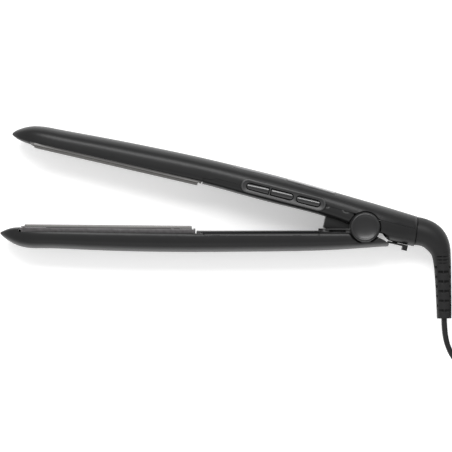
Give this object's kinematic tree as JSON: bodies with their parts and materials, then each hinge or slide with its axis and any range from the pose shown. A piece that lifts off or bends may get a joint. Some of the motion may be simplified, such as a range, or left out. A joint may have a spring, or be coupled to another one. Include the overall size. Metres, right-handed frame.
{
  "type": "flat iron",
  "caption": "Slim black hair straightener lying open on its side, with long floating plates, side buttons and a swivelling cord.",
  "frame": {"origin": "on the hinge axis, at the flat face of the far pivot cap, which is the side that it lies on", "axes": "+X from the plates' tips towards the cord, +Z across the arms along the hinge axis, up when it lies on its side"},
  "size_m": [0.4072, 0.1722, 0.0333],
  "materials": {
    "black_matte": "fine satin black",
    "black_gloss": "polished black",
    "grey_trim": "satin light grey",
    "grey_lens": "clear lens over grey",
    "coated_aluminium": "ceramic-coated, satin",
    "heat_resistant_plastic": "matte",
    "black_rubber": "soft satin",
    "plated_brass": "nickel plated",
    "steel": "zinc plated",
    "circuit_board": "solder mask",
    "electronic_parts": "moulded",
    "heater_film": "polyimide film over ceramic",
    "lead_insulation": "glass-fibre sleeve"
  },
  "bodies": {
    "handle": {"badge_trim": "grey_trim", "button_bezel": "black_matte", "control_pcb": "circuit_board", "display_module": "electronic_parts", "display_window": "grey_lens", "hinge_block": "black_matte", "hinge_block_screws": "steel", "hinge_pin": "steel", "opening_spring": "steel", "pivot_cap_far": "black_gloss", "pivot_cap_near": "black_gloss", "pivot_washers": "steel", "rear_cover": "black_matte", "tactile_switches": "electronic_parts", "upper_cover_screws": "steel", "upper_housing": "black_matte", "upper_inner_cover": "black_matte", "upper_leads": "lead_insulation", "upper_plate_carrier": "heat_resistant_plastic", "upper_plate_springs": "steel"},
    "lower_arm": {"lower_housing": "black_matte", "lower_inner_cover": "black_matte", "lower_plate_carrier": "heat_resistant_plastic", "lower_plate_springs": "steel", "lower_leads": "lead_insulation", "lower_cover_screws": "steel"},
    "upper_heating_plate": {"upper_plate": "coated_aluminium", "upper_heater": "heater_film", "upper_thermistor": "electronic_parts", "thermal_fuse": "electronic_parts"},
    "lower_heating_plate": {"lower_plate": "coated_aluminium", "lower_heater": "heater_film", "lower_thermistor": "electronic_parts"},
    "minus_key": {"button_minus": "black_gloss"},
    "plus_key": {"button_plus": "black_gloss"},
    "power_key": {"button_power": "black_gloss"},
    "travel_lock": {"lock_slider": "black_matte"},
    "swivel": {"swivel_elbow": "black_rubber", "strain_relief": "black_rubber", "cord": "black_rubber", "cord_tail": "black_rubber", "cord_coil": "black_rubber", "cord_tie": "black_rubber", "plug_body": "black_rubber", "plug_pins": "plated_brass"}
  },
  "joints": [
    {"name": "arm_hinge", "type": "hinge", "parent": "handle", "child": "lower_arm", "pos_m": [0, 0, 0], "axis": [0, 0, 1], "range_deg": [-12.9, 0], "stiffness_Nm_per_rad": 0.6, "springref_deg": 17.19},
    {"name": "upper_plate_float", "type": "slide", "parent": "handle", "child": "upper_heating_plate", "axis": [0.2243, 0.9745, 0], "range_m": [0, 0.0006], "stiffness_N_per_m": 2400, "springref_m": -0.0006},
    {"name": "lower_plate_float", "type": "slide", "parent": "lower_arm", "child": "lower_heating_plate", "axis": [-0.0099, -1, 0], "range_m": [0, 0.0006], "stiffness_N_per_m": 2400, "springref_m": -0.0006},
    {"name": "minus_press", "type": "slide", "parent": "handle", "child": "minus_key", "axis": [0, 0, -1], "range_m": [0, 0.0006], "stiffness_N_per_m": 400, "springref_m": -0.0003},
    {"name": "plus_press", "type": "slide", "parent": "handle", "child": "plus_key", "axis": [0, 0, -1], "range_m": [0, 0.0006], "stiffness_N_per_m": 400, "springref_m": -0.0003},
    {"name": "power_press", "type": "slide", "parent": "handle", "child": "power_key", "axis": [0, 0, -1], "range_m": [0, 0.0006], "stiffness_N_per_m": 400, "springref_m": -0.0003},
    {"name": "lock_slide", "type": "slide", "parent": "handle", "child": "travel_lock", "axis": [0.9745, -0.2243, 0], "range_m": [0, 0.003]},
    {"name": "cord_swivel", "type": "hinge", "parent": "handle", "child": "swivel", "pos_m": [0.0343, -0.0024, 0.016], "axis": [-0.9925, 0.1219, 0], "continuous": true}
  ]
}
